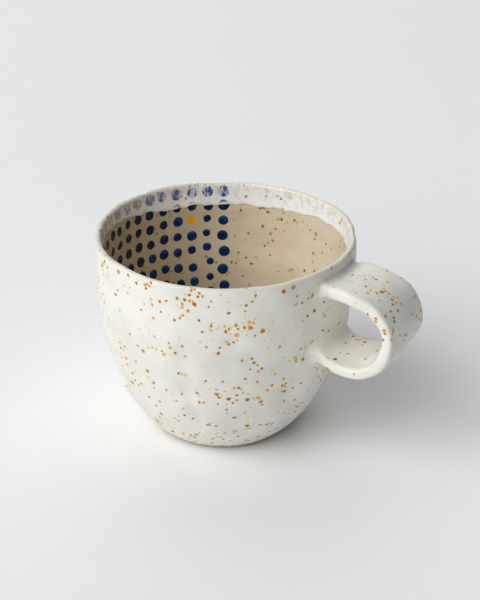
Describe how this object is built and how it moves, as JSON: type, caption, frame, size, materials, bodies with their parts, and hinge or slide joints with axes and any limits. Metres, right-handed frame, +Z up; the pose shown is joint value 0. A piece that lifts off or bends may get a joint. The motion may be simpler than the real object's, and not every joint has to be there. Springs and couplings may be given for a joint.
{
  "type": "mug",
  "caption": "Hand-pinched stoneware mug with a wide strap handle, speckled white glaze outside and a dotted, clear-glazed inside.",
  "frame": {"origin": "centre of the flat base, on the axis that the cup was turned about", "axes": "+Z up along the cup's axis, +X towards the middle of the handle, +Y to the left of the handle seen from the cup's axis"},
  "size_m": [0.1279, 0.101, 0.0821],
  "materials": {
    "stoneware_clay": "bare fired clay, matt",
    "white_glaze": "satin white with rust-coloured iron speckles",
    "clear_glaze": "clear gloss over tan clay, with blue underglaze dots on one side"
  },
  "bodies": {
    "root": {"cup_body": "stoneware_clay", "handle_strap": "stoneware_clay", "upper_joint_coil": "stoneware_clay", "lower_joint_coil": "stoneware_clay", "outer_glaze": "white_glaze", "handle_glaze": "white_glaze", "liner_glaze": "clear_glaze"}
  },
  "joints": []
}
